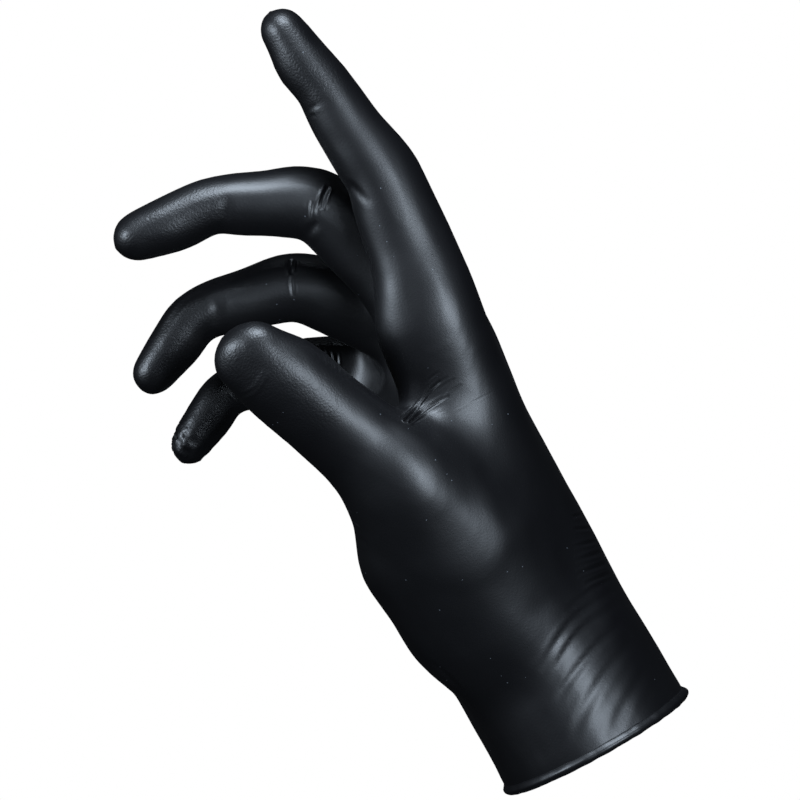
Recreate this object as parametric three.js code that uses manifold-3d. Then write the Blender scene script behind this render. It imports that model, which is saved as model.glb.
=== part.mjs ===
// Nitrile exam glove for a right hand, in the form that it has when worn with the index
// finger straight and the other digits curled.
// Millimetres. +Z runs from the cuff to the fingertips, +X is the back of the hand, -X the
// palm and -Y the thumb side. The origin is the centre of the cuff's mouth.
//
// The glove is one dipped film. Its outer and inner surfaces are two levels of one
// distance field: every digit is a bent spine with oval sections, the wrist is a short
// wide spine, and neighbours blend smoothly, as the film spans the webs between them.
import * as THREE from 'three';
import { mergeVertices } from 'three/addons/utils/BufferGeometryUtils.js';
import Module from 'manifold-3d';

// Driving dimensions
const WALL = 1.4;             // film as modelled; the real film is about 0.12 thick
const BEAD = 1.6;             // radius of the rolled bead round the cuff's mouth
const CUFF = { depth: 57, breadth: 66, flare: 1.5, flareHeight: 9 };
const WRIST = { height: 44, depth: 57, breadth: 64, palmward: 0.5 };
const HEEL = { height: 74, depth: 49, breadth: 72 };
const HYPOTHENAR = { x: -5, y: 22, z: 82, depth: 36, breadth: 32, length: 74 };
const PALM_HEIGHT = 128;      // from the cuff's mouth to the knuckles
const PALM_BREADTH = 84;
const FINGER_LENGTH = 109;    // the middle finger, from its knuckle to its tip
const FINGER_BREADTH = 20;
const PALM_BLEND = 13;        // reach of the smooth joint between parts of the palm
const FINGER_BLEND = 3.5;     // the same between free fingers
const KNUCKLE_HEIGHT = 124;   // where the palm's blend gives way to the fingers'
const BLEND_FADE = 24;        // height over which it does
const JOINT_ROUND = 0.3;      // share of a bone that its bend takes up

// Mesh sizes
const CELL = 2;               // sampling step of the field
const OUTER_TRIANGLES = 7400;
const INNER_TRIANGLES = 3200;
const TWIN_SHARE = 0.15;      // how far a vertex that two sheets share is drawn back
const BEAD_SEGMENTS = 60;
const BEAD_SIDES = 8;

// Digits. root and knuckle are places: x and y as shares of the palm's breadth, z as a share
// of its height. bones run outwards from the knuckle, as shares of the finger length, and
// bends are the flexion at each joint in degrees. breadth is the width at the first joint
// past the knuckle, as a share of the finger breadth, and side points to the little finger.
const DIGITS = [
  { name: 'index', root: [0.048, -0.167, 0.453], knuckle: [0.244, -0.381, 1], breadth: 1,
    bones: [0.402, 0.265, 0.233], bends: [-5, 9, 3], side: [0, 1, 0.05] },
  { name: 'middle', root: [0.071, -0.048, 0.453], knuckle: [0.268, -0.126, 1.008], breadth: 1,
    bones: [0.45, 0.272, 0.275], bends: [21, 41, 23], side: [0, 1, 0] },
  { name: 'ring', root: [0.06, 0.083, 0.453], knuckle: [0.22, 0.138, 0.973], breadth: 0.95,
    bones: [0.408, 0.284, 0.257], bends: [42, 34, 41], side: [0, 1, 0] },
  { name: 'little', root: [0.012, 0.19, 0.453], knuckle: [0.131, 0.369, 0.914], breadth: 0.85,
    bones: [0.343, 0.229, 0.229], bends: [60, 16, 43], side: [0, 1, -0.06] },
  { name: 'thumb', root: [-0.143, -0.214, 0.406], knuckle: [-0.139, -0.452, 0.724], breadth: 1.3,
    bones: [0.317, 0.296], bends: [0, -8], side: [0.84, -0.49, 0.21], ahead: [-0.33, -0.17, 0.92] },
];

// Oval sections along a digit: at counts joints (0 root, 1 knuckle, last the tip) and the
// rest are shares of the digit's breadth. half is to each side, back and front are depths.
const FINGER_SECTIONS = [
  { at: 0.0, half: 0.62, back: 0.85, front: 0.85 },
  { at: 0.6, half: 0.60, back: 0.62, front: 0.85 },
  { at: 1.0, half: 0.60, back: 0.58, front: 0.98 },
  { at: 1.5, half: 0.49, back: 0.57, front: 0.66 },
  { at: 2.0, half: 0.48, back: 0.55, front: 0.55 },
  { at: 2.5, half: 0.46, back: 0.42, front: 0.51 },
  { at: 3.0, half: 0.44, back: 0.38, front: 0.47 },
  { at: 3.5, half: 0.42, back: 0.33, front: 0.46 },
  { at: 4.0, half: 0.37, back: 0.29, front: 0.35 },
];
const THUMB_SECTIONS = [
  { at: 0.0, half: 0.82, back: 0.72, front: 0.72 },
  { at: 0.5, half: 0.93, back: 0.66, front: 0.80 },
  { at: 1.0, half: 0.68, back: 0.52, front: 0.60 },
  { at: 1.5, half: 0.53, back: 0.43, front: 0.47 },
  { at: 2.0, half: 0.51, back: 0.42, front: 0.45 },
  { at: 2.5, half: 0.50, back: 0.36, front: 0.45 },
  { at: 3.0, half: 0.42, back: 0.28, front: 0.34 },
];

// Flexion creases on the palm side of a digit, counted along it in the same way.
const CREASES = [
  { at: 2.0, depth: 1.3, width: 2.6 },
  { at: 3.0, depth: 1.2, width: 2.4 },
];

// Webs between two digits, each a few round ribs from one spine to the other. low and high
// count joints along each digit; radii are shares of the finger breadth.
const WEBS = [
  { from: 'index', to: 'middle', fromLow: 1.10, fromHigh: 1.42, toLow: 1.10, toHigh: 1.42, radius: 0.25 },
  { from: 'middle', to: 'ring', fromLow: 1.10, fromHigh: 1.42, toLow: 1.10, toHigh: 1.42, radius: 0.25 },
  { from: 'ring', to: 'little', fromLow: 1.10, fromHigh: 1.40, toLow: 1.10, toHigh: 1.42, radius: 0.25 },
  { from: 'thumb', to: 'index', fromLow: 0.55, fromHigh: 0.82, toLow: 0.35, toHigh: 0.57, radius: 0.34 },
];
const WEB_RIBS = 3;

const SPINE_STEPS = 8; // stations along each bone

// A spine is a list of stations, each with its centre, its axes and its half sizes.
function makeSpine(stations) {
  for (let i = 0; i < stations.length; i += 1) {
    const before = stations[Math.max(i - 1, 0)].centre;
    const after = stations[Math.min(i + 1, stations.length - 1)].centre;
    const along = after.clone().sub(before).normalize();
    const side = stations[i].side;
    const back = side.clone().cross(along).normalize();
    stations[i].along = along;
    stations[i].back = back;
    stations[i].side = along.clone().cross(back).normalize();
  }
  const box = new THREE.Box3().setFromPoints(stations.map((station) => station.centre));
  const reach = Math.max(...stations.map((s) => Math.max(s.half, s.backDepth, s.frontDepth)));
  return { stations, box: box.expandByScalar(reach) };
}

// Joint places of a digit, from its knuckle outwards along bones that bend towards the palm.
function digitJoints(digit) {
  const palm = new THREE.Vector3(PALM_BREADTH, PALM_BREADTH, PALM_HEIGHT);
  const root = new THREE.Vector3(...digit.root).multiply(palm);
  const knuckle = new THREE.Vector3(...digit.knuckle).multiply(palm);
  const side = new THREE.Vector3(...digit.side).normalize();
  const ahead = new THREE.Vector3(...(digit.ahead ?? [0, 0, 1]));
  ahead.addScaledVector(side, -ahead.dot(side)).normalize();
  const joints = [root, knuckle];
  digit.bones.forEach((length, i) => {
    ahead.applyAxisAngle(side, THREE.MathUtils.degToRad(-digit.bends[i]));
    joints.push(joints[joints.length - 1].clone().addScaledVector(ahead, length * FINGER_LENGTH));
  });
  return joints;
}

// Lines along the bones, joined by a parabola round each joint.
function digitCurve(joints) {
  const path = new THREE.CurvePath();
  let start = joints[0];
  for (let i = 1; i < joints.length - 1; i += 1) {
    const arrive = joints[i].clone().lerp(joints[i - 1], JOINT_ROUND);
    const leave = joints[i].clone().lerp(joints[i + 1], JOINT_ROUND);
    path.add(new THREE.LineCurve3(start, arrive));
    path.add(new THREE.QuadraticBezierCurve3(arrive, joints[i], leave));
    start = leave;
  }
  path.add(new THREE.LineCurve3(start, joints[joints.length - 1]));
  return path;
}

// Value of a column of a section table at a count of joints, smooth from row to row.
function sectionValue(sections, at, column) {
  let row = 0;
  while (row < sections.length - 2 && sections[row + 1].at < at) row += 1;
  const lower = sections[row];
  const upper = sections[row + 1];
  const share = THREE.MathUtils.smoothstep(at, lower.at, upper.at);
  const straight = THREE.MathUtils.clamp((at - lower.at) / (upper.at - lower.at), 0, 1);
  return THREE.MathUtils.lerp(lower[column], upper[column], (share + straight) / 2);
}

function digitSpine(digit) {
  const sections = digit.name === 'thumb' ? THUMB_SECTIONS : FINGER_SECTIONS;
  const breadth = digit.breadth * FINGER_BREADTH;
  const tipRadius = sections[sections.length - 1].half * breadth;
  const joints = digitJoints(digit);
  const last = joints.length - 1;
  const tip = joints[last].clone().sub(joints[last - 1]);
  joints[last].addScaledVector(tip.normalize(), -tipRadius);
  const curve = digitCurve(joints);
  const lengths = joints.slice(1).map((joint, i) => joint.distanceTo(joints[i]));
  const total = curve.getLength();
  const straightTotal = lengths.reduce((sum, length) => sum + length, 0);
  const stations = [];
  for (let bone = 0; bone < last; bone += 1) {
    const steps = bone === last - 1 ? SPINE_STEPS + 1 : SPINE_STEPS;
    const before = lengths.slice(0, bone).reduce((sum, length) => sum + length, 0);
    for (let step = 0; step < steps; step += 1) {
      const share = step / SPINE_STEPS;
      const at = bone + share;
      const distance = (before + share * lengths[bone]) * (total / straightTotal);
      const crease = CREASES.reduce((sum, row) => {
        const off = (at - row.at) * lengths[Math.min(Math.round(at), last - 1)] / row.width;
        return sum + row.depth * Math.exp(-off * off);
      }, 0);
      stations.push({
        at,
        centre: curve.getPointAt(Math.min(distance / total, 1)),
        side: new THREE.Vector3(...digit.side).normalize(),
        half: sectionValue(sections, at, 'half') * breadth,
        backDepth: sectionValue(sections, at, 'back') * breadth,
        frontDepth: sectionValue(sections, at, 'front') * breadth - crease,
      });
    }
  }
  return makeSpine(stations);
}

function wristSpine() {
  const below = 3 * WALL + BEAD;
  const rows = [
    { z: -below, depth: CUFF.depth + CUFF.flare, breadth: CUFF.breadth + CUFF.flare },
    { z: 0, depth: CUFF.depth + CUFF.flare, breadth: CUFF.breadth + CUFF.flare },
    { z: CUFF.flareHeight, depth: CUFF.depth, breadth: CUFF.breadth },
    { z: WRIST.height, depth: WRIST.depth, breadth: WRIST.breadth, x: -WRIST.palmward },
    { z: HEEL.height, depth: HEEL.depth, breadth: HEEL.breadth, x: -WRIST.palmward },
  ];
  const stations = rows.map((row) => ({
    centre: new THREE.Vector3(row.x ?? 0, 0, row.z),
    side: new THREE.Vector3(0, 1, 0),
    half: row.breadth / 2,
    backDepth: row.depth / 2,
    frontDepth: row.depth / 2,
  }));
  return makeSpine(stations);
}

function webSpine(web, share, spines) {
  const { lerp } = THREE.MathUtils;
  const places = [
    [web.from, lerp(web.fromLow, web.fromHigh, share)],
    [web.to, lerp(web.toLow, web.toHigh, share)],
  ];
  const ends = places.map(([name, at]) => {
    const stations = spines.get(name).stations;
    return stations.reduce((best, s) => (Math.abs(s.at - at) < Math.abs(best.at - at) ? s : best));
  });
  const radius = web.radius * FINGER_BREADTH;
  return makeSpine(ends.map((end) => ({
    centre: end.centre.clone(),
    side: new THREE.Vector3(0, 0, 1),
    half: radius,
    backDepth: radius,
    frontDepth: radius,
  })));
}

// Distance from an oval with the given half sizes to the point (s, h, a) in its own axes.
function ovalDistance(s, h, a, half, depth) {
  const cap = (half + depth) / 2;
  const scaled = Math.hypot(s / half, h / depth, a / cap);
  const slope = Math.hypot(s / (half * half), h / (depth * depth), a / (cap * cap));
  return slope < 1e-9 ? -Math.min(half, depth) : scaled * (scaled - 1) / slope;
}

function spineDistance(spine, x, y, z) {
  const { min, max } = spine.box;
  const clearance = Math.hypot(
    Math.max(min.x - x, 0, x - max.x),
    Math.max(min.y - y, 0, y - max.y),
    Math.max(min.z - z, 0, z - max.z),
  );
  if (clearance > PALM_BLEND) return clearance;
  let best = Infinity;
  let bestIndex = 0;
  let bestShare = 0;
  for (let i = 0; i < spine.stations.length - 1; i += 1) {
    const from = spine.stations[i].centre;
    const to = spine.stations[i + 1].centre;
    const dx = to.x - from.x;
    const dy = to.y - from.y;
    const dz = to.z - from.z;
    const along = ((x - from.x) * dx + (y - from.y) * dy + (z - from.z) * dz)
      / (dx * dx + dy * dy + dz * dz);
    const share = Math.min(Math.max(along, 0), 1);
    const off = Math.hypot(x - from.x - share * dx, y - from.y - share * dy, z - from.z - share * dz);
    if (off < best) {
      best = off;
      bestIndex = i;
      bestShare = share;
    }
  }
  const from = spine.stations[bestIndex];
  const to = spine.stations[bestIndex + 1];
  const mix = (a, b) => a + (b - a) * bestShare;
  const px = x - mix(from.centre.x, to.centre.x);
  const py = y - mix(from.centre.y, to.centre.y);
  const pz = z - mix(from.centre.z, to.centre.z);
  const dot = (axis) => px * mix(from[axis].x, to[axis].x)
    + py * mix(from[axis].y, to[axis].y) + pz * mix(from[axis].z, to[axis].z);
  const h = dot('back');
  const depth = h > 0 ? mix(from.backDepth, to.backDepth) : mix(from.frontDepth, to.frontDepth);
  return ovalDistance(dot('side'), h, dot('along'), mix(from.half, to.half), depth);
}

function smoothMin(a, b, reach) {
  const near = Math.max(reach - Math.abs(a - b), 0) / reach;
  return Math.min(a, b) - near * near * reach / 4;
}

function makeField() {
  const spines = new Map(DIGITS.map((digit) => [digit.name, digitSpine(digit)]));
  const wrist = wristSpine();
  const shares = Array.from({ length: WEB_RIBS }, (_, rib) => rib / (WEB_RIBS - 1));
  const webs = WEBS.flatMap((web) => shares.map((share) => webSpine(web, share, spines)));
  return (x, y, z) => {
    const rise = THREE.MathUtils.smoothstep(z, KNUCKLE_HEIGHT - BLEND_FADE / 2, KNUCKLE_HEIGHT + BLEND_FADE / 2);
    const reach = THREE.MathUtils.lerp(PALM_BLEND, FINGER_BLEND, rise);
    let value = spineDistance(wrist, x, y, z);
    const heel = HYPOTHENAR;
    const bulge = Math.hypot((x - heel.x) / heel.depth, (y - heel.y) / heel.breadth, (z - heel.z) / heel.length);
    value = smoothMin(value, (bulge * 2 - 1) * heel.breadth / 2, reach);
    for (const spine of spines.values()) value = smoothMin(value, spineDistance(spine, x, y, z), reach);
    for (const spine of webs) value = smoothMin(value, spineDistance(spine, x, y, z), reach);
    return value;
  };
}

// The field's values at the nodes of a grid round the glove.
function sampleField(field, box) {
  const size = box.getSize(new THREE.Vector3());
  const count = [size.x, size.y, size.z].map((length) => Math.ceil(length / CELL) + 1);
  const values = new Float32Array(count[0] * count[1] * count[2]);
  let node = 0;
  for (let k = 0; k < count[2]; k += 1) {
    for (let j = 0; j < count[1]; j += 1) {
      for (let i = 0; i < count[0]; i += 1) {
        values[node] = field(box.min.x + i * CELL, box.min.y + j * CELL, box.min.z + k * CELL);
        node += 1;
      }
    }
  }
  return { count, values, min: box.min };
}

// Closed surface where the sampled field equals level: one vertex in every cell that the
// surface crosses, at the mean of its crossings, and a quad across every crossed grid edge.
function surfaceAt(grid, level) {
  const [nx, ny, nz] = grid.count;
  const stride = [1, nx, nx * ny];
  const inside = (node) => grid.values[node] < level;
  const vertexOfCell = new Int32Array(nx * ny * nz).fill(-1);
  const points = [];
  const corner = (bits) => (bits & 1) * stride[0] + ((bits >> 1) & 1) * stride[1] + ((bits >> 2) & 1) * stride[2];
  const edges = [];
  for (let from = 0; from < 8; from += 1) {
    for (let axis = 0; axis < 3; axis += 1) if (!(from & (1 << axis))) edges.push([from, axis]);
  }
  for (let k = 0; k < nz - 1; k += 1) {
    for (let j = 0; j < ny - 1; j += 1) {
      for (let i = 0; i < nx - 1; i += 1) {
        const cell = i + j * stride[1] + k * stride[2];
        const sum = [0, 0, 0];
        let crossings = 0;
        for (const [from, axis] of edges) {
          const a = cell + corner(from);
          const b = a + stride[axis];
          if (inside(a) === inside(b)) continue;
          const share = (level - grid.values[a]) / (grid.values[b] - grid.values[a]);
          for (let c = 0; c < 3; c += 1) sum[c] += ((from >> c) & 1) + (c === axis ? share : 0);
          crossings += 1;
        }
        if (crossings === 0) continue;
        vertexOfCell[cell] = points.length / 3;
        points.push(
          grid.min.x + (i + sum[0] / crossings) * CELL,
          grid.min.y + (j + sum[1] / crossings) * CELL,
          grid.min.z + (k + sum[2] / crossings) * CELL,
        );
      }
    }
  }
  const triangles = [];
  for (let node = 0; node < grid.values.length; node += 1) {
    for (let axis = 0; axis < 3; axis += 1) {
      const next = node + stride[axis];
      if (next >= grid.values.length || inside(node) === inside(next)) continue;
      const u = stride[(axis + 1) % 3];
      const v = stride[(axis + 2) % 3];
      const quad = [node, node - u, node - u - v, node - v].map((cell) => vertexOfCell[cell]);
      if (quad.includes(-1) || quad.includes(undefined)) continue;
      if (!inside(node)) quad.reverse();
      triangles.push(quad[0], quad[1], quad[2], quad[0], quad[2], quad[3]);
    }
  }
  return { points: Float64Array.from(points), triangles: Int32Array.from(triangles) };
}

// Binary heap of edges, cheapest first.
class EdgeHeap {
  constructor() {
    this.items = [];
  }

  push(item) {
    const { items } = this;
    let at = items.push(item) - 1;
    while (at > 0) {
      const parent = (at - 1) >> 1;
      if (items[parent].cost <= items[at].cost) break;
      [items[parent], items[at]] = [items[at], items[parent]];
      at = parent;
    }
  }

  pop() {
    const { items } = this;
    const top = items[0];
    const last = items.pop();
    if (items.length === 0) return top;
    items[0] = last;
    let at = 0;
    for (;;) {
      let least = at;
      for (const child of [2 * at + 1, 2 * at + 2]) {
        if (child < items.length && items[child].cost < items[least].cost) least = child;
      }
      if (least === at) return top;
      [items[least], items[at]] = [items[at], items[least]];
      at = least;
    }
  }
}

// Fewer triangles on the same surface: the edge whose collapse moves the surface least goes
// first, and a collapse that would fold the surface or pinch it is left out.
function simplify(surface, target) {
  const points = surface.points;
  const vertexCount = points.length / 3;
  const faces = [];
  const facesOf = Array.from({ length: vertexCount }, () => new Set());
  for (let t = 0; t < surface.triangles.length; t += 3) {
    const face = [surface.triangles[t], surface.triangles[t + 1], surface.triangles[t + 2]];
    for (const vertex of face) facesOf[vertex].add(faces.length);
    faces.push(face);
  }
  const place = (vertex) => [points[3 * vertex], points[3 * vertex + 1], points[3 * vertex + 2]];
  const normalOf = (a, b, c) => {
    const [ux, uy, uz] = [b[0] - a[0], b[1] - a[1], b[2] - a[2]];
    const [vx, vy, vz] = [c[0] - a[0], c[1] - a[1], c[2] - a[2]];
    return [uy * vz - uz * vy, uz * vx - ux * vz, ux * vy - uy * vx];
  };
  // Sum of squared distances to planes, as the upper half of a symmetric 4 by 4 matrix
  const quadrics = new Float64Array(10 * vertexCount);
  for (const face of faces) {
    const [a, b, c] = face.map(place);
    const normal = normalOf(a, b, c);
    const area = Math.hypot(...normal);
    if (area === 0) continue;
    const [nx, ny, nz] = normal.map((value) => value / area);
    const d = -(nx * a[0] + ny * a[1] + nz * a[2]);
    const terms = [nx * nx, nx * ny, nx * nz, nx * d, ny * ny, ny * nz, ny * d, nz * nz, nz * d, d * d];
    for (const vertex of face) terms.forEach((term, i) => { quadrics[10 * vertex + i] += term * area; });
  }
  const planeCost = (q, [x, y, z]) => q[0] * x * x + 2 * q[1] * x * y + 2 * q[2] * x * z + 2 * q[3] * x
    + q[4] * y * y + 2 * q[5] * y * z + 2 * q[6] * y + q[7] * z * z + 2 * q[8] * z + q[9];
  const bestPlace = (q, a, b) => {
    const middle = a.map((value, i) => (value + b[i]) / 2);
    const matrix = new THREE.Matrix3().set(q[0], q[1], q[2], q[1], q[4], q[5], q[2], q[5], q[7]);
    const size = (q[0] + q[4] + q[7]) / 3;
    if (Math.abs(matrix.determinant()) < 1e-4 * size ** 3) return middle;
    const spot = new THREE.Vector3(-q[3], -q[6], -q[8]).applyMatrix3(matrix.invert()).toArray();
    const reach = Math.hypot(a[0] - b[0], a[1] - b[1], a[2] - b[2]);
    return Math.hypot(...spot.map((value, i) => value - middle[i])) < reach ? spot : middle;
  };
  const stamp = new Int32Array(vertexCount);
  const heap = new EdgeHeap();
  const pushEdge = (a, b) => {
    const q = new Float64Array(10);
    for (let i = 0; i < 10; i += 1) q[i] = quadrics[10 * a + i] + quadrics[10 * b + i];
    const spot = bestPlace(q, place(a), place(b));
    const length = Math.hypot(...place(a).map((value, i) => value - points[3 * b + i]));
    const cost = planeCost(q, spot) + 0.01 * length * length;
    heap.push({ a, b, spot, cost, stamps: [stamp[a], stamp[b]] });
  };
  const neighbours = (vertex) => {
    const found = new Set();
    for (const face of facesOf[vertex]) for (const other of faces[face]) found.add(other);
    found.delete(vertex);
    return found;
  };
  for (let vertex = 0; vertex < vertexCount; vertex += 1) {
    for (const other of neighbours(vertex)) if (vertex < other) pushEdge(vertex, other);
  }
  const folds = (vertex, other, spot) => {
    for (const index of facesOf[vertex]) {
      const face = faces[index];
      if (face.includes(other)) continue;
      const before = normalOf(...face.map(place));
      const after = normalOf(...face.map((corner) => (corner === vertex ? spot : place(corner))));
      const product = before[0] * after[0] + before[1] * after[1] + before[2] * after[2];
      const sizes = Math.hypot(...before) * Math.hypot(...after);
      if (product <= 0.3 * sizes) return true;
      const corners = face.map((corner) => (corner === vertex ? spot : place(corner)));
      const longest = Math.max(...corners.map((p, i) => Math.hypot(...p.map((v, c) => v - corners[(i + 1) % 3][c]))));
      if (Math.hypot(...after) < 0.12 * longest * longest) return true;
    }
    return false;
  };
  let count = faces.length;
  while (count > target && heap.items.length > 0) {
    const { a, b, spot, stamps } = heap.pop();
    if (stamps[0] !== stamp[a] || stamps[1] !== stamp[b]) continue;
    const around = neighbours(a);
    const shared = [...neighbours(b)].filter((vertex) => around.has(vertex));
    if (shared.length !== 2 || folds(a, b, spot) || folds(b, a, spot)) continue;
    for (const index of [...facesOf[b]]) {
      const face = faces[index];
      if (face.includes(a)) {
        for (const vertex of face) facesOf[vertex].delete(index);
        faces[index] = null;
        count -= 1;
      } else {
        face[face.indexOf(b)] = a;
        facesOf[b].delete(index);
        facesOf[a].add(index);
      }
    }
    spot.forEach((value, i) => { points[3 * a + i] = value; });
    for (let i = 0; i < 10; i += 1) quadrics[10 * a + i] += quadrics[10 * b + i];
    stamp[a] += 1;
    stamp[b] += 1;
    for (const other of neighbours(a)) pushEdge(Math.min(a, other), Math.max(a, other));
  }
  const kept = faces.filter((face) => face !== null).flat();
  return { points, triangles: Int32Array.from(kept) };
}

function surfaceGeometry(surface) {
  const geometry = new THREE.BufferGeometry();
  geometry.setAttribute('position', new THREE.BufferAttribute(Float32Array.from(surface.points), 3));
  geometry.setIndex(new THREE.BufferAttribute(Uint32Array.from(surface.triangles), 1));
  return geometry.toNonIndexed();
}

const wasm = await Module();
wasm.setup();

function toSolid(geometry) {
  const bare = geometry.clone();
  bare.deleteAttribute('normal');
  bare.deleteAttribute('uv');
  const merged = mergeVertices(bare, 1e-4);
  return new wasm.Manifold(new wasm.Mesh({
    numProp: 3,
    vertProperties: new Float32Array(merged.attributes.position.array),
    triVerts: new Uint32Array(merged.index.array),
  }));
}

// Where two sheets touch in one place, each one's vertex is drawn a little into its own sheet.
function drawTwinsApart(points, triangles) {
  const places = new Map();
  for (let vertex = 0; vertex < points.length / 3; vertex += 1) {
    const key = points.slice(3 * vertex, 3 * vertex + 3).join();
    places.set(key, [...(places.get(key) ?? []), vertex]);
  }
  for (const twins of places.values()) {
    if (twins.length < 2) continue;
    for (const vertex of twins) {
      const mean = [0, 0, 0];
      let corners = 0;
      for (let t = 0; t < triangles.length; t += 3) {
        const face = triangles.slice(t, t + 3);
        if (!face.includes(vertex)) continue;
        for (const corner of face) for (let c = 0; c < 3; c += 1) mean[c] += points[3 * corner + c];
        corners += 3;
      }
      for (let c = 0; c < 3; c += 1) {
        points[3 * vertex + c] = THREE.MathUtils.lerp(points[3 * vertex + c], mean[c] / corners, TWIN_SHARE);
      }
    }
  }
}

function toGeometry(solid) {
  const mesh = solid.getMesh();
  drawTwinsApart(mesh.vertProperties, mesh.triVerts);
  const geometry = new THREE.BufferGeometry();
  geometry.setAttribute('position', new THREE.BufferAttribute(mesh.vertProperties, 3));
  geometry.setIndex(new THREE.BufferAttribute(mesh.triVerts, 1));
  geometry.computeVertexNormals();
  return geometry;
}

// Rolled bead: a round section carried round the oval mouth of the cuff.
function beadGeometry() {
  const rimDepth = (CUFF.depth + CUFF.flare - WALL) / 2;
  const rimBreadth = (CUFF.breadth + CUFF.flare - WALL) / 2;
  const positions = [];
  const index = [];
  for (let i = 0; i < BEAD_SEGMENTS; i += 1) {
    const turn = 2 * Math.PI * i / BEAD_SEGMENTS;
    const outward = new THREE.Vector2(Math.cos(turn) / rimDepth, Math.sin(turn) / rimBreadth).normalize();
    for (let side = 0; side < BEAD_SIDES; side += 1) {
      const roll = 2 * Math.PI * side / BEAD_SIDES;
      const off = BEAD * Math.cos(roll);
      positions.push(
        rimDepth * Math.cos(turn) + outward.x * off,
        rimBreadth * Math.sin(turn) + outward.y * off,
        BEAD + BEAD * Math.sin(roll),
      );
      const a = i * BEAD_SIDES + side;
      const b = i * BEAD_SIDES + (side + 1) % BEAD_SIDES;
      const c = ((i + 1) % BEAD_SEGMENTS) * BEAD_SIDES + side;
      const d = ((i + 1) % BEAD_SEGMENTS) * BEAD_SIDES + (side + 1) % BEAD_SIDES;
      index.push(a, c, d, a, d, b);
    }
  }
  const geometry = new THREE.BufferGeometry();
  geometry.setAttribute('position', new THREE.Float32BufferAttribute(positions, 3));
  geometry.setIndex(index);
  return geometry;
}

// Everything below the middle of the bead, where the film ends inside it.
function belowBead() {
  const span = 4 * CUFF.breadth;
  const box = new THREE.BoxGeometry(span, span, span);
  box.translate(0, 0, BEAD - span / 2);
  return box;
}

function gloveGeometry() {
  const field = makeField();
  const box = new THREE.Box3();
  const spines = [wristSpine(), ...DIGITS.map(digitSpine)];
  for (const spine of spines) box.union(spine.box);
  box.expandByScalar(2 * CELL + PALM_BLEND / 4);
  const grid = sampleField(field, box);
  const outer = toSolid(surfaceGeometry(simplify(surfaceAt(grid, 0), OUTER_TRIANGLES)));
  const inner = toSolid(surfaceGeometry(simplify(surfaceAt(grid, -WALL), INNER_TRIANGLES)));
  const skin = outer.subtract(toSolid(belowBead())).subtract(inner);
  return toGeometry(skin.add(toSolid(beadGeometry())));
}

const nitrile = new THREE.MeshStandardMaterial({ color: 0x0b0c0e, roughness: 0.42, metalness: 0 });
const glove = new THREE.Mesh(gloveGeometry(), nitrile);
glove.name = 'glove';

const root = new THREE.Group();
root.add(glove);

export default root;
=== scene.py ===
# %% [markdown]
# # A black nitrile exam glove
# An exam glove is dipped: a form of a hand goes into liquid nitrile, and the film that stays
# on it is cured and peeled off. The fitted frame already holds its shape as a faceted
# solid. This script gives it the smooth satin film, the folds of a worn glove, the fine
# grip texture on the fingertips and the rolled bead at the cuff.
# The frame is loaded first, because every piece takes its place from it.

import math

import bmesh
import bpy
import numpy as np
from mathutils import Matrix, Vector, noise
from mathutils.bvhtree import BVHTree


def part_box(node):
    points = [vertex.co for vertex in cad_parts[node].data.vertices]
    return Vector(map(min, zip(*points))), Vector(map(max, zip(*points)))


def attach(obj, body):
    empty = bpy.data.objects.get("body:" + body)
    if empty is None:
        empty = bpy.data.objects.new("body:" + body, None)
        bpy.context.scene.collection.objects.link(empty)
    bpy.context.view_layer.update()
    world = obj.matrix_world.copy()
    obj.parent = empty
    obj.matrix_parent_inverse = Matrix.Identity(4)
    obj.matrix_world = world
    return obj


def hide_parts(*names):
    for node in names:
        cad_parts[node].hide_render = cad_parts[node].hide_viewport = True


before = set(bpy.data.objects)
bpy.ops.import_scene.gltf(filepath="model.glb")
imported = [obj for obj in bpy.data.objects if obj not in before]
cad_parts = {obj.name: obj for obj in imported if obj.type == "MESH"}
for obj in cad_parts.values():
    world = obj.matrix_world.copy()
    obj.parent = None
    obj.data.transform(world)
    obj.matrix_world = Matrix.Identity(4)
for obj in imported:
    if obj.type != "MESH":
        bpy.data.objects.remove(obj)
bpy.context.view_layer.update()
MM = 0.001
glove_low, glove_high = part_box("glove")
print("glove box in mm", [round(v / MM, 1) for v in (*glove_low, *glove_high)])

# %% [markdown]
# ## Camera
# The photograph looks at the thumb side of the hand, square on, from about a metre, and the
# forearm leans in the picture. A real camera could be rolled, or the hand turned. Here the
# hand stands along Z, so the camera is rolled by the same lean instead.

# %% Camera
VIEW_DISTANCE = 1.1
PIXELS_PER_MM = 3.5
PICTURE_PIXELS = 800
LEAN = math.radians(29)
VIEW_CENTRE = Vector((-1.7, 0, 113.65)) * MM
SENSOR_MM = 36

right = Vector((math.cos(LEAN), 0, -math.sin(LEAN)))
up = Vector((math.sin(LEAN), 0, math.cos(LEAN)))
back = right.cross(up)
camera_data = bpy.data.cameras.new("camera")
camera_data.sensor_width = SENSOR_MM
camera_data.lens = PIXELS_PER_MM * VIEW_DISTANCE / MM * SENSOR_MM / PICTURE_PIXELS
camera_data.clip_start = 0.01
camera = bpy.data.objects.new("camera", camera_data)
turn = Matrix((right, up, back)).transposed().to_4x4()
camera.matrix_world = Matrix.Translation(VIEW_CENTRE + back * VIEW_DISTANCE) @ turn
bpy.context.scene.collection.objects.link(camera)
bpy.context.scene.camera = camera
print("lens", round(camera_data.lens, 1), "mm")

# %% [markdown]
# ## The outer skin
# The film follows the hand under it without a facet or a seam. It could be sculpted anew,
# but then it would drift from the frame's solid. So the solid is copied and merged, cut
# just above its bead, and only the outer of its two skins is kept. That skin is capped,
# subdivided and remeshed into even small faces, and relaxed until the facets are gone.

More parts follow.
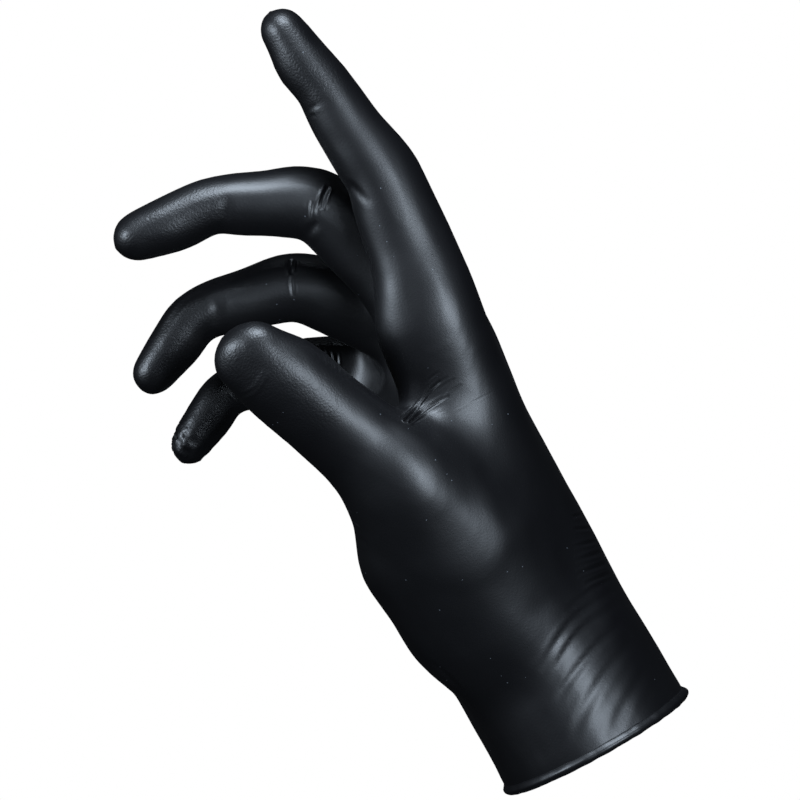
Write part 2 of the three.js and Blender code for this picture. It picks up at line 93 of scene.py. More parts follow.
# %% Helpers for meshes
def new_object(name, bm):
    """Put a bmesh into a new object at the origin and free it."""
    mesh = bpy.data.meshes.new(name)
    bm.to_mesh(mesh)
    bm.free()
    obj = bpy.data.objects.new(name, mesh)
    bpy.context.scene.collection.objects.link(obj)
    return obj


def bake_modifiers(obj):
    """Replace an object's mesh by what its modifiers make of it."""
    depsgraph = bpy.context.evaluated_depsgraph_get()
    baked = bpy.data.meshes.new_from_object(obj.evaluated_get(depsgraph))
    obj.modifiers.clear()
    obj.data = baked


def islands(bm):
    """List the groups of joined vertices of a bmesh."""
    seen = set()
    groups = []
    for start in bm.verts:
        if start in seen:
            continue
        seen.add(start)
        group = [start]
        for vert in group:
            for edge in vert.link_edges:
                other = edge.other_vert(vert)
                if other not in seen:
                    seen.add(other)
                    group.append(other)
        groups.append(group)
    return groups


# %% Part the solid into its two skins
CUT_HEIGHT = 4.2 * MM      # just above the bead of the solid


def film_of_solid(keep_outer):
    """Copy the solid above its bead and keep one of its two skins."""
    bm = bmesh.new()
    bm.from_mesh(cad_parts["glove"].data)
    bmesh.ops.remove_doubles(bm, verts=bm.verts, dist=0.001 * MM)
    everything = bm.verts[:] + bm.edges[:] + bm.faces[:]
    bmesh.ops.bisect_plane(
        bm, geom=everything, plane_co=(0, 0, CUT_HEIGHT), plane_no=(0, 0, 1), clear_inner=True
    )
    groups = sorted(islands(bm), key=lambda group: max(v.co.z for v in group))
    kept = groups[-1] if keep_outer else groups[-2]
    kept_set = set(kept)
    bmesh.ops.delete(bm, geom=[v for v in bm.verts if v not in kept_set], context="VERTS")
    return bm


outer = film_of_solid(keep_outer=True)
inner = film_of_solid(keep_outer=False)
print("outer faces", len(outer.faces), "inner faces", len(inner.faces))

# %% Remesh the outer skin
VOXEL = 1.05 * MM
CAP_DROP = 9 * MM
MOUTH_HEIGHT = 1.6 * MM    # where the film ends inside the bead
RELAX_STEPS = 18
RELAX_IN = 0.55            # each step shrinks by the first share and swells by the second,
RELAX_OUT = 0.56           # so the facets go and the girth of a finger stays


def mouth_edges(bm):
    """List the edges of the open mouth."""
    return [edge for edge in bm.edges if edge.is_boundary]


def read_points(mesh):
    """Read a mesh's vertices as rows of x, y and z in metres."""
    points = np.empty(len(mesh.vertices) * 3)
    mesh.vertices.foreach_get("co", points)
    return points.reshape(-1, 3)


def read_normals(mesh):
    """Read the normals of a mesh's vertices as rows."""
    normals = np.empty(len(mesh.vertices) * 3, dtype=np.float32)
    mesh.vertex_normals.foreach_get("vector", normals)
    return normals.reshape(-1, 3).astype(float)


def write_points(mesh, points):
    """Write moved vertices back to their mesh."""
    mesh.vertices.foreach_set("co", points.ravel())
    mesh.update()


def neighbours(mesh):
    """List each edge both ways round, and how many edges each vertex has."""
    pairs = np.empty(len(mesh.edges) * 2, dtype=np.int64)
    mesh.edges.foreach_get("vertices", pairs)
    pairs = pairs.reshape(-1, 2)
    ends = np.concatenate([pairs[:, 0], pairs[:, 1]])
    others = np.concatenate([pairs[:, 1], pairs[:, 0]])
    count = np.maximum(np.bincount(ends, minlength=len(mesh.vertices)), 1)
    return ends, others, count


def relax(mesh, steps):
    """Even a mesh out like the smooth brush, with the swelling stroke after each."""
    points = read_points(mesh)
    ends, others, count = neighbours(mesh)
    for step in range(2 * steps):
        mean = np.stack(
            [np.bincount(ends, points[others, axis], len(points)) / count for axis in range(3)], 1
        )
        share = RELAX_IN if step % 2 == 0 else -RELAX_OUT
        points = points + share * (mean - points)
    write_points(mesh, points)


dropped = bmesh.ops.extrude_edge_only(outer, edges=mouth_edges(outer))["geom"]
dropped_verts = [item for item in dropped if isinstance(item, bmesh.types.BMVert)]
bmesh.ops.translate(outer, verts=dropped_verts, vec=(0, 0, -CAP_DROP))
bmesh.ops.recalc_face_normals(outer, faces=outer.faces)
film = new_object("film", outer)
rounding = film.modifiers.new("rounding", "SUBSURF")
rounding.levels = 2
rounding.render_levels = 2
bake_modifiers(film)
bm = bmesh.new()
bm.from_mesh(film.data)
bmesh.ops.holes_fill(bm, edges=mouth_edges(bm))
bm.to_mesh(film.data)
bm.free()
even = film.modifiers.new("even", "REMESH")
even.mode = "VOXEL"
even.voxel_size = VOXEL
bake_modifiers(film)
relax(film.data, RELAX_STEPS)


def pull_to_frame(mesh, steps):
    """Move a mesh out to the frame's own skin again, by an evened distance."""
    bm = film_of_solid(keep_outer=True)
    skin = BVHTree.FromBMesh(bm)
    bm.free()
    points = read_points(mesh)
    normals = read_normals(mesh)
    gaps = np.zeros(len(points))
    for row, point in enumerate(points):
        near, normal, face, gap = skin.find_nearest(Vector(point))
        gaps[row] = min(max((near - Vector(point)).dot(Vector(normals[row])), -MM), MM)
    gaps[points[:, 2] < CUT_HEIGHT] = 0
    ends, others, count = neighbours(mesh)
    for step in range(steps):
        gaps = np.bincount(ends, gaps[others], len(points)) / count
    write_points(mesh, points + normals * gaps[:, None])
    print("mean pull in mm", round(float(np.abs(gaps).mean()) / MM, 2))


PULL_EVEN = 16
LAST_RELAX_STEPS = 4
pull_to_frame(film.data, PULL_EVEN)
relax(film.data, LAST_RELAX_STEPS)
print("film faces", len(film.data.polygons))

# %% [markdown]
# ## Places on the film
# Folds are placed where the photograph shows them, as a sculptor marks them on the clay
# through the lens. They could be typed as places in space, but they are seen in the
# picture. So each is given in the picture's pixels and cast along its line of sight onto
# the film, from the camera or, for the far side, from behind.

# %% Cast picture places onto the film
def caster(mesh):
    """Make a search tree of a mesh's faces for casting onto it."""
    bm = bmesh.new()
    bm.from_mesh(mesh)
    tree = BVHTree.FromBMesh(bm)
    bm.free()
    return tree


film_tree = caster(film.data)
EYE = VIEW_CENTRE + back * VIEW_DISTANCE


def cast(u, v, far=False):
    """Give the place and normal of the film at a pixel, on the near or the far side."""
    side = (u - PICTURE_PIXELS / 2) / PIXELS_PER_MM * MM
    rise = (PICTURE_PIXELS / 2 - v) / PIXELS_PER_MM * MM
    target = VIEW_CENTRE + right * side + up * rise
    sight = (target - EYE).normalized()
    if far:
        hit, normal, face, reach = film_tree.ray_cast(EYE + sight * 2 * VIEW_DISTANCE, -sight)
    else:
        hit, normal, face, reach = film_tree.ray_cast(EYE, sight)
    return (hit, normal) if hit else None


CORNER_CUTS = 2             # how often the corners of a fold's line are cut off


def cast_path(corners, far=False, step=2.0):
    """Cast a line of pixel corners, rounded off, onto the film at even steps."""
    for cut in range(CORNER_CUTS):
        pairs = list(zip(corners, corners[1:]))
        inner_row = []
        for (u0, v0), (u1, v1) in pairs:
            inner_row.append((0.75 * u0 + 0.25 * u1, 0.75 * v0 + 0.25 * v1))
            inner_row.append((0.25 * u0 + 0.75 * u1, 0.25 * v0 + 0.75 * v1))
        corners = [corners[0], *inner_row[1:-1], corners[-1]]
    rows = []
    for (u0, v0), (u1, v1) in zip(corners, corners[1:]):
        count = max(int(math.hypot(u1 - u0, v1 - v0) / step), 1)
        rows += [(u0 + (u1 - u0) * k / count, v0 + (v1 - v0) * k / count) for k in range(count)]
    rows.append(corners[-1])
    hits = [hit for hit in (cast(u, v, far) for u, v in rows) if hit]
    places = np.array([hit[0] for hit in hits]) if hits else np.zeros((0, 3))
    facings = np.array([hit[1] for hit in hits]) if hits else np.zeros((0, 3))
    return places, facings


# %% [markdown]
# ## Folds
# Thin film folds where it is squeezed: sharp pairs at the sides of bent joints, a fan from
# the web of the thumb, and long slack folds round the narrow wrist. A cloth simulation
# would fold it anywhere. The table gives each fold as it is seen, with the groove's half
# width and depth in millimetres, and carve() presses it in with a soft lip on both sides.
# A fold that starts at an open end, such as the web's crease, keeps its depth there.

# %% Fold tables
FOLDS = [
    # pixel corners, half width, depth, lip, open start, far side
    # fan from the web of the thumb
    ([(405, 421), (418, 407), (430, 391), (440, 380)], 0.42, 0.80, 0.5, True, False),
    ([(409, 422), (424, 411), (439, 401), (449, 395)], 0.45, 0.85, 0.5, True, False),
    ([(413, 423), (428, 416), (446, 405)], 0.30, 0.14, 0.4, True, False),
    ([(401, 419), (406, 412), (413, 406)], 0.30, 0.25, 0.4, True, False),
    ([(425, 383), (439, 371)], 0.35, 0.10, 0.5, False, False),
    ([(430, 390), (448, 376)], 0.35, 0.10, 0.5, False, False),
    ([(436, 391), (455, 378)], 0.35, 0.10, 0.5, False, False),
    ([(442, 396), (462, 384)], 0.35, 0.10, 0.5, False, False),
    ([(447, 415), (475, 401), (502, 387)], 0.30, 0.035, 0.3, False, False),
    ([(424, 357), (438, 349), (453, 340)], 0.90, -0.08, 0.1, False, False),
    ([(470, 353), (480, 347), (488, 340)], 0.80, -0.05, 0.1, False, False),
    # middle finger: pair at the side of the middle joint, crease of the end joint
    ([(329, 186), (324, 196), (321, 210)], 0.60, 0.62, 0.6, False, False),
    ([(325, 190), (319, 202), (317, 216)], 0.45, 0.24, 0.4, False, False),
    ([(312, 200), (310, 218)], 0.40, 0.22, 0.4, False, False),
    ([(318, 222), (310, 230), (306, 236)], 1.10, 0.45, 0.2, False, False),
    ([(228, 197), (225, 214), (222, 236)], 1.40, 0.45, 0.15, False, False),
    # ring finger: pair at the side of the middle joint, crease of the end joint
    ([(292, 259), (290, 268), (291, 275)], 0.60, 0.55, 0.7, False, False),
    ([(297, 260), (295, 272)], 0.40, 0.30, 0.8, False, False),
    ([(291, 276), (293, 296)], 0.50, 0.20, 0.3, False, False),
    ([(212, 296), (219, 310), (213, 326)], 1.30, 0.40, 0.2, False, False),
    ([(204, 292), (186, 298), (172, 318), (163, 336)], 0.90, 0.20, 0.6, False, False),
    # little finger: folds of its first joint, seen past the thumb
    ([(324, 349), (327, 368)], 0.40, 0.35, 0.8, False, False),
    ([(330, 351), (333, 372)], 0.40, 0.40, 0.8, False, False),
    ([(337, 353), (338, 374)], 0.40, 0.30, 0.8, False, False),
    # index finger: crease of the end joint, folds of the middle joint
    ([(303, 113), (314, 106), (327, 100)], 0.80, 0.25, 0.2, True, False),
    ([(306, 119), (315, 114)], 0.60, 0.20, 0.3, False, False),
    ([(352, 186), (362, 196), (372, 204)], 1.10, 0.35, 0.3, True, False),
    ([(414, 150), (424, 168)], 0.50, 0.12, 0.3, False, False),
    # thumb: edges of the nail under the film, and the pulp's edge beyond it
    ([(252, 327), (235, 329), (220, 337), (213, 350), (211, 364)], 0.65, 0.22, 0.8, False, False),
    ([(268, 369), (264, 378), (256, 389), (243, 394)], 0.60, 0.22, 0.9, False, False),
    ([(243, 394), (232, 386), (222, 374)], 0.70, 0.14, 0.4, False, False),
    ([(240, 403), (250, 398), (258, 391)], 0.45, 0.14, 0.9, False, False),
    ([(228, 361), (240, 375), (254, 388)], 0.30, -0.10, 0.3, False, False),
    ([(216, 350), (226, 357)], 0.30, -0.08, 0.3, False, False),
    ([(228, 392), (238, 405), (248, 417)], 0.35, -0.12, 0.3, False, False),
    # slack folds of the narrow wrist
    ([(614, 577), (592, 590), (566, 612)], 0.80, 0.24, 0.5, False, False),
    ([(616, 588), (580, 612), (556, 640), (540, 672)], 0.90, 0.30, 0.7, False, False),
    ([(622, 602), (590, 622), (570, 642), (556, 668)], 0.85, 0.28, 0.7, False, False),
    ([(622, 622), (596, 646), (572, 676), (556, 700)], 1.00, 0.36, 0.7, False, False),
    ([(632, 640), (606, 672), (586, 706), (570, 740)], 1.30, 0.26, 0.6, False, False),
    ([(646, 668), (624, 706), (610, 742)], 1.40, 0.24, 0.6, False, False),
    ([(592, 528), (574, 529)], 0.50, 0.30, 0.6, False, False),
    ([(597, 541), (575, 546)], 0.55, 0.35, 0.6, False, False),
    ([(602, 552), (577, 560)], 0.60, 0.40, 0.6, False, False),
    ([(607, 563), (578, 574)], 0.60, 0.40, 0.6, False, False),
    ([(611, 573), (586, 583)], 0.55, 0.35, 0.6, False, False),
    ([(584, 514), (572, 517)], 0.45, 0.22, 0.5, False, False),
    ([(428, 660), (446, 674), (462, 690)], 1.00, 0.24, 0.6, False, False),
    ([(438, 690), (456, 694), (474, 712)], 1.10, 0.24, 0.6, False, False),
    ([(452, 716), (476, 726), (494, 748)], 1.20, 0.22, 0.6, False, False),
    # thumb's mound, beside the wrist
    ([(338, 500), (352, 512)], 0.40, 0.15, 0.6, False, False),
    ([(346, 516), (360, 526)], 0.40, 0.18, 0.6, False, False),
    ([(350, 538), (366, 541)], 0.90, 0.16, 0.4, False, False),
    # the far side, where the photograph doesn't show it
    ([(620, 560), (580, 590), (548, 640)], 1.40, 0.24, 0.50, False, True),
    ([(628, 590), (596, 626), (566, 690)], 1.40, 0.30, 0.50, False, True),
    ([(640, 630), (610, 680), (590, 740)], 1.40, 0.27, 0.50, False, True),
    ([(470, 640), (500, 660), (520, 700)], 1.40, 0.24, 0.50, False, True),
    ([(440, 600), (470, 612), (500, 640)], 1.40, 0.18, 0.50, False, True),
    ([(300, 430), (330, 440), (360, 470)], 1.40, 0.27, 0.50, False, True),
    ([(320, 400), (350, 405), (385, 425)], 1.40, 0.24, 0.50, False, True),
]

# Broad rises and hollows: pixel place, radius and height in millimetres, far side.
ROUND = None        # a full fingertip swells on every side, not only on the one seen
SWELLS = [
    ((148, 240), 13.0, 1.3, ROUND),    # full tips of the middle finger, ring finger,
    ((158, 362), 11.0, 0.7, ROUND),    # little finger and thumb
    ((186, 436), 10.0, 1.1, ROUND),
    ((240, 365), 13.0, 1.2, ROUND),
    ((302, 382), 13.0, 0.9, ROUND),    # broad middle joint of the thumb
    ((420, 492), 9.0, 0.9, False),     # first joint of the thumb under the film
    ((333, 52), 5.0, 0.5, False),      # end joint of the index finger
    ((240, 364), 6.5, -1.1, False),    # the flat of the thumbnail
    ((250, 350), 6.0, -0.3, False),
    ((440, 412), 6.0, 0.4, False),     # taut film over the web
    ((316, 38), 3.0, -0.4, False),     # behind the index finger's nail
    ((576, 560), 9.0, -0.8, False),    # hollow beside the wrist's tendons
    ((520, 640), 14.0, 0.5, False),
]


# %% Refine the film where folds are fine
FINE_WIDTH = 0.62           # half widths under this need smaller faces than the film's
REFINE_REACH = 2.2          # how far they reach round a fold, in half widths
REFINE_ROUNDS = 2
REFINE_RELAX_STEPS = 3
NEAR_SIDE = 0.2             # least cosine between facings on the same side of the film

fold_lines = []
for corners, half_width, depth, lip, open_start, far in FOLDS:
    places, facings = cast_path(corners, far)
    if len(places) > 1:
        fold_lines.append((places, facings, half_width * MM, depth * MM, lip, open_start))


def distance_to_line(points, places):
    """Distance of each point from a polyline, and its share along it."""
    best = np.full(len(points), np.inf)
    share = np.zeros(len(points))
    row = np.zeros(len(points), dtype=int)
    steps = len(places) - 1
    for k in range(steps):
        along = places[k + 1] - places[k]
        t = np.clip((points - places[k]) @ along / max(along @ along, 1e-12), 0, 1)
        gap = np.linalg.norm(points - places[k] - t[:, None] * along, axis=1)
        nearer = gap < best
        best[nearer] = gap[nearer]
        share[nearer] = (k + t[nearer]) / steps
        row[nearer] = k
    return best, share, row


def close_to(points, places, reach):
    """Rows of the points inside the box of a line, widened by reach."""
    inside = (points > places.min(0) - reach).all(1) & (points < places.max(0) + reach).all(1)
    return np.nonzero(inside)[0]


def refine(obj, lines):
    """Split the edges that lie near narrow folds."""
    points = read_points(obj.data)
    chosen = np.zeros(len(points), dtype=bool)
    for places, facings, half_width, depth, lip, open_start in lines:
        if half_width > FINE_WIDTH * MM:
            continue
        reach = half_width * REFINE_REACH + VOXEL / 2
        rows = close_to(points, places, reach)
        gap, share, row = distance_to_line(points[rows], places)
        chosen[rows[gap < reach]] = True
    bm = bmesh.new()
    bm.from_mesh(obj.data)
    bm.verts.ensure_lookup_table()
    faces = [f for f in bm.faces if any(chosen[v.index] for v in f.verts)]
    edges = list({edge for face in faces for edge in face.edges})
    bmesh.ops.subdivide_edges(bm, edges=edges, cuts=1, use_grid_fill=True)
    bmesh.ops.triangulate(bm, faces=[face for face in bm.faces if len(face.verts) > 4])
    bm.to_mesh(obj.data)
    bm.free()


for refine_round in range(REFINE_ROUNDS):
    refine(film, fold_lines)
relax(film.data, REFINE_RELAX_STEPS)
print("folds", len(fold_lines), "film faces after refining", len(film.data.polygons))


# %% Carve the folds
FOLD_REACH = 5              # how far a fold reaches to each side, in half widths
LIP_SHARE = 0.6             # height of a full lip, as a share of the fold's depth
LIP_PLACE = 1.9             # where the lip lies and how wide it is, in half widths
LIP_WIDTH = 0.8
END_POWER = 0.6             # under 1 keeps a fold deep until near its ends


def carve(points, normals, line):
    """Press one fold into the film, with a soft lip on both sides."""
    places, facings, half_width, depth, lip, open_start = line
    reach = half_width * FOLD_REACH
    rows = close_to(points, places, reach)
    gap, share, row = distance_to_line(points[rows], places)
    same_side = np.einsum("ij,ij->i", normals[rows], facings[row]) > NEAR_SIDE
    across = gap / half_width
    lips = np.exp(-((across - LIP_PLACE) / LIP_WIDTH) ** 2)
    profile = -np.exp(-across ** 2) + lip * LIP_SHARE * lips
    ends = np.sin(np.pi * np.clip(share, 0, 1)) ** END_POWER
    if open_start:
        ends = np.clip(1.0 - share, 0, 1) ** END_POWER
    move = depth * profile * ends * same_side * (gap < reach)
    points[rows] += normals[rows] * move[:, None]


def swell(points, normals, place, facing, radius, height):
    """Raise or press the film softly round a place."""
    gap = np.linalg.norm(points - np.array(place), axis=1)
    same_side = True if facing is ROUND else normals @ np.array(facing) > NEAR_SIDE
    points += normals * (height * np.exp(-(gap / radius) ** 2) * same_side)[:, None]


points = read_points(film.data)
normals = read_normals(film.data)
for (u, v), radius, height, far in SWELLS:
    hit = cast(u, v, bool(far))
    if hit:
        facing = ROUND if far is ROUND else hit[1]
        swell(points, normals, hit[0], facing, radius * MM, height * MM)
for line in fold_lines:
    carve(points, normals, line)
deepest = np.linalg.norm(points - read_points(film.data), axis=1).max()
write_points(film.data, points)
print("largest move in mm", round(float(deepest) / MM, 2))

# %% [markdown]
# ## Crumple, slack and waves
# A glove is a little too long for the fingertip of the little finger, so its film crumples
# there, and the loose cuff waves gently all round. Noise fields give both: a sharp ridged
# one kept to the fingertip and a long soft one that fades in towards the cuff.

# %% Crumple the slack film
CRUMPLE_PLACES = [((176, 446), 6.5, 1.3, 0.34)]      # pixel, radius, height, noise per mm
CRUMPLE_REACH = 2.2        # how far the crumple reaches, in radii
CRUMPLE_LEVEL = 0.7        # ridge height that stays where the film was
WAVE_TOP = 74 * MM
WAVE_LOW = 20 * MM
WAVE_HEIGHT = 0.55 * MM
WAVE_SCALE = (70, 70, 38)
FILM_WAVER = 0.10 * MM
WAVER_SCALE = 110

points = read_points(film.data)
normals = read_normals(film.data)
for (u, v), radius, height, per_mm in CRUMPLE_PLACES:
    hit = cast(u, v)
    if not hit:
        continue
    gap = np.linalg.norm(points - np.array(hit[0]), axis=1)
    for row in np.nonzero(gap < CRUMPLE_REACH * radius * MM)[0]:
        spot = Vector(points[row]) * (per_mm / MM)
        ridge = 1 - 2 * abs(noise.noise(spot)) - 0.5 * abs(noise.noise(spot * 2.1))
        fade = math.exp(-(gap[row] / (radius * MM)) ** 2)
        points[row] += normals[row] * ((ridge - CRUMPLE_LEVEL) * height * MM * fade)
waver = np.array([noise.noise(Vector(p) * WAVER_SCALE) for p in points])
slack = np.array([noise.noise(Vector(p * WAVE_SCALE)) for p in points])
loose = np.clip((WAVE_TOP - points[:, 2]) / (WAVE_TOP - WAVE_LOW), 0, 1)
points += normals * (waver * FILM_WAVER + slack * loose * WAVE_HEIGHT)[:, None]
write_points(film.data, points)
bm = bmesh.new()
bm.from_mesh(film.data)
bmesh.ops.bisect_plane(
    bm,
    geom=bm.verts[:] + bm.edges[:] + bm.faces[:],
    plane_co=(0, 0, MOUTH_HEIGHT),
    plane_no=(0, 0, 1),
    clear_inner=True,
)
bm.to_mesh(film.data)
bm.free()
print("film faces above the mouth", len(film.data.polygons))

# %% [markdown]
# ## Masks of the film
# The mould is roughened at the fingertips, and the film takes the pebble from it. The
# grain fades out behind the last joint of each finger. It could be a picture wrapped on
# the hand, but a mask on the vertices follows the fitted shape, so the material reads it.

# %% Mark the textured fingertips
# tip and last joint of each digit, in the frame's millimetres
GRIP_ENDS = [
    ((19.2, -37.0, 225.6), (22.6, -35.4, 196.0)),
    ((-51.2, -10.6, 191.3), (-17.0, -10.6, 187.0)),
    ((-66.3, 11.6, 152.4), (-38.0, 11.6, 164.0)),
    ((-67.6, 31.0, 129.6), (-43.0, 31.0, 141.0)),
    ((-36.0, -53.0, 152.0), (-23.0, -44.0, 119.0)),
]
GRIP_FADE = 5 * MM
GRIP_RADIUS = 15 * MM

points = read_points(film.data)
grip = np.zeros(len(points))
for tip, joint in GRIP_ENDS:
    tip = np.array(tip) * MM
    joint = np.array(joint) * MM
    length = np.linalg.norm(tip - joint)
    along = (points - joint) @ (tip - joint) / length
    off = np.linalg.norm(points - joint - along[:, None] * (tip - joint) / length, axis=1)
    inside = np.clip(along / GRIP_FADE + 0.5, 0, 1) * np.clip((GRIP_RADIUS - off) / GRIP_FADE, 0, 1)
    grip = np.maximum(grip, inside * (along < length + GRIP_RADIUS))
layer = film.data.attributes.new("grip", "FLOAT", "POINT")
layer.data.foreach_set("value", grip)
print("share of the film with grip texture", round(float(grip.mean()), 2))

# %% [markdown]
# ## The inside and the bead
# Looking into the cuff one sees the film's other face, and at its edge the bead that the
# machine rolls up before the film cures. The inside is the frame's inner skin, rounded in
# the same way. The bead is a tube swept round the mouth's oval, a little uneven and with
# the line of the last turn along it, because rolled film is never a perfect ring.

# %% Inner skin
bmesh.ops.extrude_edge_only(inner, edges=mouth_edges(inner))
low_verts = [v for v in inner.verts if v.is_boundary]
bmesh.ops.translate(inner, verts=low_verts, vec=(0, 0, MOUTH_HEIGHT - CUT_HEIGHT))
inside = new_object("film_inside", inner)
rounding = inside.modifiers.new("rounding", "SUBSURF")
rounding.levels = 1
rounding.render_levels = 1
bake_modifiers(inside)
print("inside faces", len(inside.data.polygons))

# %% Rolled bead
BEAD_HALF = (28.55, 33.05)  # half sizes of the oval that the bead's middle follows
BEAD_RADIUS = 1.55
BEAD_UNEVEN = 0.16
BEAD_STEPS = 260
BEAD_SIDES = 20
ROLL_LINE = 0.20            # depth of the line where the last turn ends
ROLL_ANGLE = math.radians(35)

bm = bmesh.new()
rings = []
for step in range(BEAD_STEPS):
    turn = 2 * math.pi * step / BEAD_STEPS
    middle = Vector((BEAD_HALF[0] * math.cos(turn), BEAD_HALF[1] * math.sin(turn), BEAD_RADIUS + 0.05))
    outward = Vector((BEAD_HALF[1] * math.cos(turn), BEAD_HALF[0] * math.sin(turn), 0)).normalized()
    spot = Vector((math.cos(turn), math.sin(turn), 0)) * 9
    thick = BEAD_RADIUS + BEAD_UNEVEN * (noise.noise(spot) - 0.4)
    roll = ROLL_ANGLE + 0.25 * noise.noise(spot * 0.6)
    ring = []
    for side in range(BEAD_SIDES):
        angle = 2 * math.pi * side / BEAD_SIDES
        away = math.remainder(angle - roll, 2 * math.pi) / 0.35
        radius = thick - ROLL_LINE * math.exp(-away ** 2)
        offset = outward * (radius * math.cos(angle)) + Vector((0, 0, radius * math.sin(angle)))
        ring.append(bm.verts.new((middle + offset) * MM))
    rings.append(ring)
for step in range(BEAD_STEPS):
    ring = rings[step]
    after = rings[(step + 1) % BEAD_STEPS]
    for side in range(BEAD_SIDES):
        ahead = (side + 1) % BEAD_SIDES
        bm.faces.new((ring[side], after[side], after[ahead], ring[ahead]))
bmesh.ops.recalc_face_normals(bm, faces=bm.faces)
bead = new_object("rolled_bead", bm)
print("bead faces", len(bead.data.polygons))

# %% [markdown]
# ## Materials
# Nitrile is a synthetic rubber, dipped and then chlorinated, so its skin is satin and not
# sticky. It reflects like a plastic, with a wide soft highlight on near black.

# %% Colour and node helpers
def linear(hex_colour):
    """Turn an sRGB hex colour into linear values with alpha."""
    parts = [int(hex_colour[i:i + 2], 16) / 255 for i in (1, 3, 5)]
    values = [p / 12.92 if p <= 0.04045 else ((p + 0.055) / 1.055) ** 2.4 for p in parts]
    return (*values, 1)


def add_node(tree, kind, settings=None, **links):
    """Add a node with its settings, and link or set its inputs by name or number."""
    node = tree.nodes.new(kind)
    for key, value in (settings or {}).items():
        setattr(node, key, value)
    for key, value in links.items():
        by_number = key[0] == "i" and key[1:].isdigit()
        socket = node.inputs[int(key[1:])] if by_number else node.inputs[key.replace("_", " ")]
        if isinstance(value, bpy.types.NodeSocket):
            tree.links.new(value, socket)
        else:
            socket.default_value = value
    return node


def mathed(tree, operation, first, second):
    """Give the output of a maths node."""
    return add_node(tree, "ShaderNodeMath", {"operation": operation}, i0=first, i1=second).outputs[0]


# %% Nitrile film
PEBBLES_PER_M = 1 / (0.6 * MM)    # real ones, taken as 0.4 mm, are too fine to see
PEBBLE_HEIGHT = 0.075 * MM
PEEL_PER_M = 1 / (2.5 * MM)
PEEL_HEIGHT = 0.012 * MM
DUST_PER_M = 1 / (4.5 * MM)
DUST_SIZE = 0.036                  # share of a dust cell that its speck takes up


def nitrile_material():
    """Satin black dipped nitrile with a fine pebble on the fingertips."""
    material = bpy.data.materials.new("dipped_nitrile")
    material.use_nodes = True
    tree = material.node_tree
    tree.nodes.clear()
    place = add_node(tree, "ShaderNodeTexCoord").outputs["Object"]
    grip = add_node(tree, "ShaderNodeAttribute", {"attribute_name": "grip"}).outputs["Fac"]
    cloud = add_node(tree, "ShaderNodeTexNoise", None, Vector=place, Scale=60.0, Detail=3.0)
    rough = add_node(
        tree, "ShaderNodeMapRange", None, Value=cloud.outputs["Fac"], i3=0.38, i4=0.47
    ).outputs["Result"]
    pebble = add_node(
        tree, "ShaderNodeTexNoise", None,
        Vector=place, Scale=PEBBLES_PER_M, Detail=1.5, Roughness=0.45,
    ).outputs["Fac"]
    peel = add_node(
        tree, "ShaderNodeTexNoise", None, Vector=place, Scale=PEEL_PER_M, Detail=2.0
    ).outputs["Fac"]
    pebble_height = mathed(tree, "MULTIPLY", mathed(tree, "MULTIPLY", pebble, grip), PEBBLE_HEIGHT)
    fine_height = mathed(tree, "MULTIPLY", pebble, PEBBLE_HEIGHT * 0.28)
    peel_height = mathed(tree, "MULTIPLY", peel, PEEL_HEIGHT)
    height = mathed(tree, "ADD", mathed(tree, "ADD", pebble_height, fine_height), peel_height)
    relief = add_node(tree, "ShaderNodeBump", None, Height=height, Strength=1.0, Distance=1.0)
    dust_cell = add_node(
        tree, "ShaderNodeTexVoronoi", None, Vector=place, Scale=DUST_PER_M, Randomness=1.0
    )
    dust = mathed(tree, "LESS_THAN", dust_cell.outputs["Distance"], DUST_SIZE)
    colour = add_node(
        tree, "ShaderNodeMix", {"data_type": "RGBA"},
        i0=mathed(tree, "MULTIPLY", dust, 0.35), i6=linear("#050507"), i7=linear("#8a9099"),
    ).outputs[2]
    shader = add_node(
        tree, "ShaderNodeBsdfPrincipled", None,
        Base_Color=colour, Roughness=rough, IOR=1.52, Normal=relief.outputs["Normal"],
    )
    output = add_node(tree, "ShaderNodeOutputMaterial")
    tree.links.new(shader.outputs["BSDF"], output.inputs["Surface"])
    return material


nitrile = nitrile_material()
for piece in (film, inside, bead):
    piece.data.materials.clear()
    piece.data.materials.append(nitrile)
    piece.data.polygons.foreach_set("use_smooth", [True] * len(piece.data.polygons))
    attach(piece, "root")
    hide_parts("glove")

# %% [markdown]
# ## Floor and light
# The highlights on the digits and the web mirror a softbox above and before the hand, the
# thumb's mirror a smaller one in front, and the thin bright rims on the left a third at the
# side. The underside falls into black, so nothing pale lies below: the floor is a dark
# cloth, well under the glove. White behind the glove is seen by the camera only.

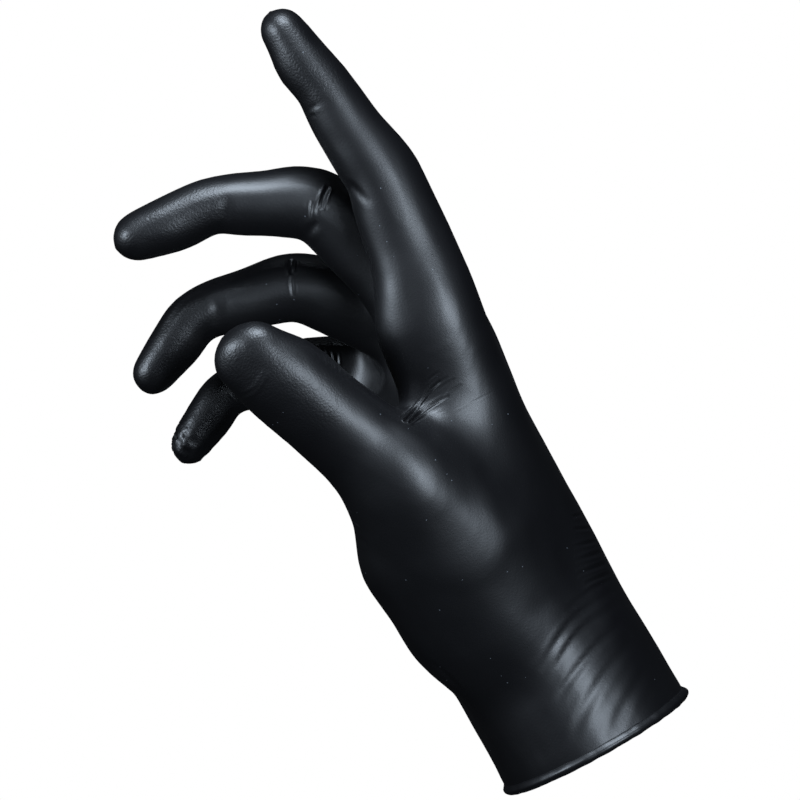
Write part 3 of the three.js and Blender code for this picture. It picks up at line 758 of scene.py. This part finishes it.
# %% Floor
FLOOR_DROP = 0.32
FLOOR_RADIUS = 0.6
bm = bmesh.new()
bmesh.ops.create_circle(bm, cap_ends=True, radius=FLOOR_RADIUS, segments=96)
bmesh.ops.translate(bm, verts=bm.verts, vec=(0, 0, -FLOOR_DROP))
floor = new_object("floor", bm)
paper = bpy.data.materials.new("dark_cloth")
paper.use_nodes = True
paper.node_tree.nodes["Principled BSDF"].inputs["Base Color"].default_value = linear("#2b2b2d")
paper.node_tree.nodes["Principled BSDF"].inputs["Roughness"].default_value = 0.9
floor.data.materials.append(paper)


# %% Lights
def softbox(name, place, size, watts):
    """Add a square area light that faces the middle of the glove."""
    data = bpy.data.lights.new(name, "AREA")
    data.shape = "SQUARE"
    data.size = size
    data.energy = watts
    data.color = (0.76, 0.87, 1.0)
    lamp = bpy.data.objects.new(name, data)
    lamp.location = place
    lamp.rotation_euler = (VIEW_CENTRE - Vector(place)).to_track_quat("-Z", "Y").to_euler()
    bpy.context.scene.collection.objects.link(lamp)
    return lamp


# name, place in the view's right, up and back in metres, size, watts
LAMPS = [
    ("key", (-0.10, 0.68, 0.44), 0.40, 12.5),
    ("front", (0.29, 0.03, 0.66), 0.26, 4.6),
    ("side_strip", (-0.95, 0.12, 0.45), 0.26, 10),
]
for name, (aside, above, behind), size, watts in LAMPS:
    softbox(name, VIEW_CENTRE + right * aside + up * above + back * behind, size, watts)

world = bpy.data.worlds.new("world")
world.use_nodes = True
tree = world.node_tree
tree.nodes.clear()
seen = add_node(tree, "ShaderNodeBackground", None, Color=(1, 1, 1, 1), Strength=1.0)
dim = add_node(tree, "ShaderNodeBackground", None, Color=(1, 1, 1, 1), Strength=0.006)
path = add_node(tree, "ShaderNodeLightPath")
mix = add_node(tree, "ShaderNodeMixShader", None, i0=path.outputs["Is Camera Ray"])
tree.links.new(dim.outputs[0], mix.inputs[1])
tree.links.new(seen.outputs[0], mix.inputs[2])
output = add_node(tree, "ShaderNodeOutputWorld")
tree.links.new(mix.outputs[0], output.inputs["Surface"])
bpy.context.scene.world = world
bpy.context.scene.view_settings.view_transform = "Standard"
